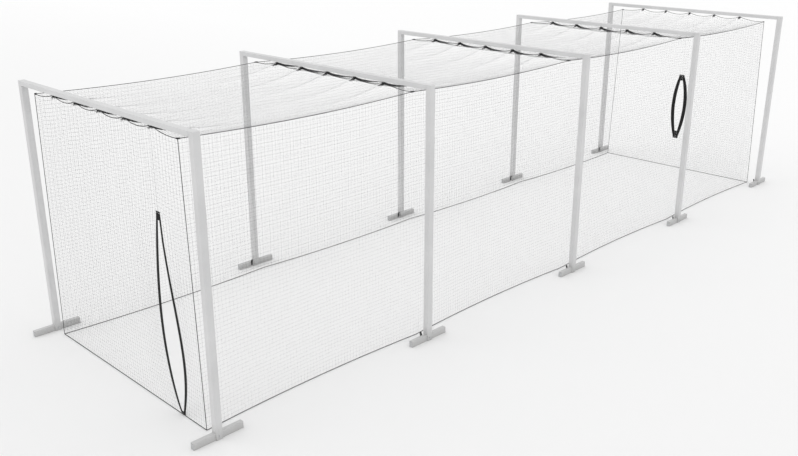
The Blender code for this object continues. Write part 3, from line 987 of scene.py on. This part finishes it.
def make_foot_bolts():
    """A bolt through the forked foot of each post: head and washer outside, washer, nut and thread inside."""
    washer = ((0.0, 0.0115), (0.0004, 0.012), (0.0021, 0.012), (0.0025, 0.0115))
    head = ((0.0025, 0.0106), (0.0090, 0.0110), (0.0100, 0.0098))
    nut = ((0.0025, 0.0098), (0.0035, 0.0110), (0.0120, 0.0110), (0.0130, 0.0098))
    for side, sign in SIGN.items():
        for number, y in zip(FRAMES, FRAME_Y):
            bm = bmesh.new()
            for way, hexagon in ((sign, head), (-sign, nut)):
                face = (POST_X[side] + way * (TUBE / 2 + SEAT_GAP), y, FOOT_HEIGHT / 2)
                turned(bm, face, (way, 0, 0), washer, 32)
                turned(bm, face, (way, 0, 0), hexagon, 6, 0.2 * number)
            thread = [(0.0125, 0.0060)]
            for k in range(8):
                thread += [(0.0130 + 0.001 * k, 0.0060), (0.0135 + 0.001 * k, 0.0053)]
            thread += [(0.0212, 0.0050), (0.0216, 0.0044)]
            inner = (POST_X[side] - sign * (TUBE / 2 + SEAT_GAP), y, FOOT_HEIGHT / 2)
            turned(bm, inner, (-sign, 0, 0), thread, 24)
            bmesh_piece(f"foot_bolt_{number}_{side}", bm, "spigot")


def make_bar_screws():
    """Button screws under both ends of each crossbar, which lock the spigots."""
    profile = ((0.0, 0.0082), (0.0008, 0.0085), (0.0026, 0.0076), (0.0040, 0.0052), (0.0042, 0.0034),
               (0.0016, 0.0032))
    under = TOP_Z - BAR_HEIGHT
    for number, y in zip(FRAMES, FRAME_Y):
        bm = bmesh.new()
        for side, sign in SIGN.items():
            for inset in SCREW_INSETS:
                x = POST_X[side] - sign * (TUBE / 2 + inset)
                turned(bm, (x, y, under - SEAT_GAP), (0, 0, -1), profile, 24)
        bmesh_piece(f"bar_screws_{number}", bm, "spigot")


def rounded_ring(width, height, radius):
    """Corner points of a rounded rectangle about (0, 0)."""
    points = []
    for quarter, (sx, sy) in enumerate(((1, 1), (-1, 1), (-1, -1), (1, -1))):
        for step in range(PLUG_CORNER_STEPS + 1):
            angle = math.pi / 2 * (quarter + step / PLUG_CORNER_STEPS)
            points.append((sx * (width / 2 - radius) + radius * math.cos(angle),
                           sy * (height / 2 - radius) + radius * math.sin(angle)))
    return points


def make_foot_plugs():
    """Ribbed plastic inserts that close the ends of each foot bar.

    A section is its distance past the bar's end, how much less it is than the bar, and its corner radius.
    """
    bore = 2 * TUBE_WALL + 0.0008
    sections = [(-0.014, bore, 0.002), (-0.012, bore - 0.0004, 0.0022)]
    for rib in (-0.011, -0.007, -0.003):
        sections += [(rib, bore, 0.0022), (rib + 0.001, bore - 0.0006, 0.0024), (rib + 0.002, bore, 0.0022)]
    sections += [(0.0001, bore, 0.0022), (0.0001, 0.0006, 0.0048), (0.0022, 0.0002, 0.005),
                 (0.0034, 0.0016, 0.005), (0.0040, 0.0050, 0.005)]
    for side in SIGN:
        for number, y in zip(FRAMES, FRAME_Y):
            for end, way in (("front", -1), ("back", 1)):
                bm = bmesh.new()
                rings = []
                for along, inset, radius in sections:
                    outline = rounded_ring(FOOT_WIDTH - inset, FOOT_HEIGHT - inset, radius)
                    rings.append([bm.verts.new((POST_X[side] + u, y + way * (FOOT_LENGTH / 2 + along),
                                                FOOT_HEIGHT / 2 + v)) for u, v in outline])
                skin(bm, rings)
                bmesh_piece(f"foot_plug_{number}_{side}_{end}", bm, "cap")


def make_cleats():
    """A black nylon hook on the net side of each foot bar but the first frame's, to tie the net's edge to."""
    rivet = ((0.0, 0.0050), (0.0014, 0.0048), (0.0022, 0.0030), (0.0010, 0.0022))
    outline = [(0.0, 0.030), (0.010, 0.030), (0.010, 0.098), (0.014, 0.112), (0.022, 0.122), (0.020, 0.130),
               (0.008, 0.126), (0.001, 0.112), (0.0, 0.098)]
    for side, sign in SIGN.items():
        face = POST_X[side] - sign * (FOOT_WIDTH / 2 + CLEAT_GAP)
        for number, y in list(zip(FRAMES, FRAME_Y))[1:]:
            bm = bmesh.new()
            loops = [[bm.verts.new((face - sign * out, y - CLEAT_BACK + edge, z)) for out, z in outline]
                     for edge in (-CLEAT_HALF, CLEAT_HALF)]
            skin(bm, loops)
            bmesh.ops.bevel(bm, geom=bm.edges, offset=CLEAT_BEVEL, segments=2, affect="EDGES")
            for level in CLEAT_RIVETS:
                turned(bm, (face - sign * CLEAT_SEAT, y - CLEAT_BACK, level), (-sign, 0, 0), rivet, 20)
            bmesh_piece(f"net_cleat_{number}_{side}", bm, "cleat")


# ---------------------------------------------------------------- stage and camera

def floor_material():
    """A pale floor with painted shade: darker at the near end and close to the cage, lighter towards the far
    end and far from the cage.
    """
    nodes = Nodes("pale_floor", 0.9)
    split = nodes.add("ShaderNodeSeparateXYZ")
    nodes.link(nodes.place, split.inputs["Vector"])
    away = nodes.add("ShaderNodeVectorMath", operation="LENGTH")
    nodes.link(nodes.place, away.inputs[0])
    # Painted shade on the floor: a gradient along the cage, and a rim that lightens far from it.
    along = nodes.fade(split.outputs["Y"], -12.0, 16.0, 0.855, 0.925)
    rim = nodes.fade(away.outputs["Value"], 20.0, 150.0, 0.0, 0.07)
    nodes.colour(nodes.math("ADD", along, rim))
    nodes.shader.inputs["Specular IOR Level"].default_value = 0.1
    return nodes.material


def make_stage():
    """White surroundings, a large floor and one soft light."""
    world = bpy.data.worlds.new("studio")
    bpy.context.scene.world = world
    world.use_nodes = True
    world.node_tree.nodes["Background"].inputs["Color"].default_value = (*WHITE, 1.0)
    world.node_tree.nodes["Background"].inputs["Strength"].default_value = 1.0
    floor_mesh = bpy.data.meshes.new("floor")
    corners = [(x * FLOOR_HALF, y * FLOOR_HALF, 0) for x, y in ((-1, -1), (1, -1), (1, 1), (-1, 1))]
    floor_mesh.from_pydata(corners, [], [(0, 1, 2, 3)])
    floor_mesh.materials.append(floor_material())
    floor = bpy.data.objects.new("floor", floor_mesh)
    floor.location.z = -FLOOR_DROP
    bpy.context.scene.collection.objects.link(floor)
    sun = bpy.data.lights.new("soft_key", "SUN")
    sun.energy = SUN_STRENGTH
    sun.angle = math.radians(SUN_SOFTNESS)
    key = bpy.data.objects.new("soft_key", sun)
    key.rotation_euler = (math.radians(SUN_TILT), 0, math.radians(SUN_TURN))
    bpy.context.scene.collection.objects.link(key)
    bpy.context.scene.view_settings.view_transform = "Standard"


def make_camera():
    data = bpy.data.cameras.new("camera")
    data.lens = CAMERA_LENS
    data.sensor_width = CAMERA_SENSOR
    data.sensor_fit = "HORIZONTAL"
    data.clip_end = CAMERA_REACH
    camera = bpy.data.objects.new("camera", data)
    camera.location = CAMERA_PLACE
    camera.rotation_euler = (math.radians(90 - CAMERA_DOWN), 0, math.radians(CAMERA_TURN))
    bpy.context.scene.collection.objects.link(camera)
    bpy.context.scene.camera = camera


def dress_cad_nodes():
    """Gives the frames' CAD nodes the looks of powder coat, and their spigots those of zinc."""
    for name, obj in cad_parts.items():
        if name.startswith(("post_", "foot_bar_", "crossbar_")):
            key = "spigot" if "spigot" in name else "frame"
            for slot in obj.material_slots:
                slot.material = MATERIAL[key]


make_camera()
make_stage()
dress_cad_nodes()
make_side_walls()
make_roof()
make_end_walls()
make_ropes()
make_eye_gathers()
make_bindings()
make_bar_tacks()
make_gussets()
make_foot_bolts()
make_bar_screws()
make_foot_plugs()
make_cleats()
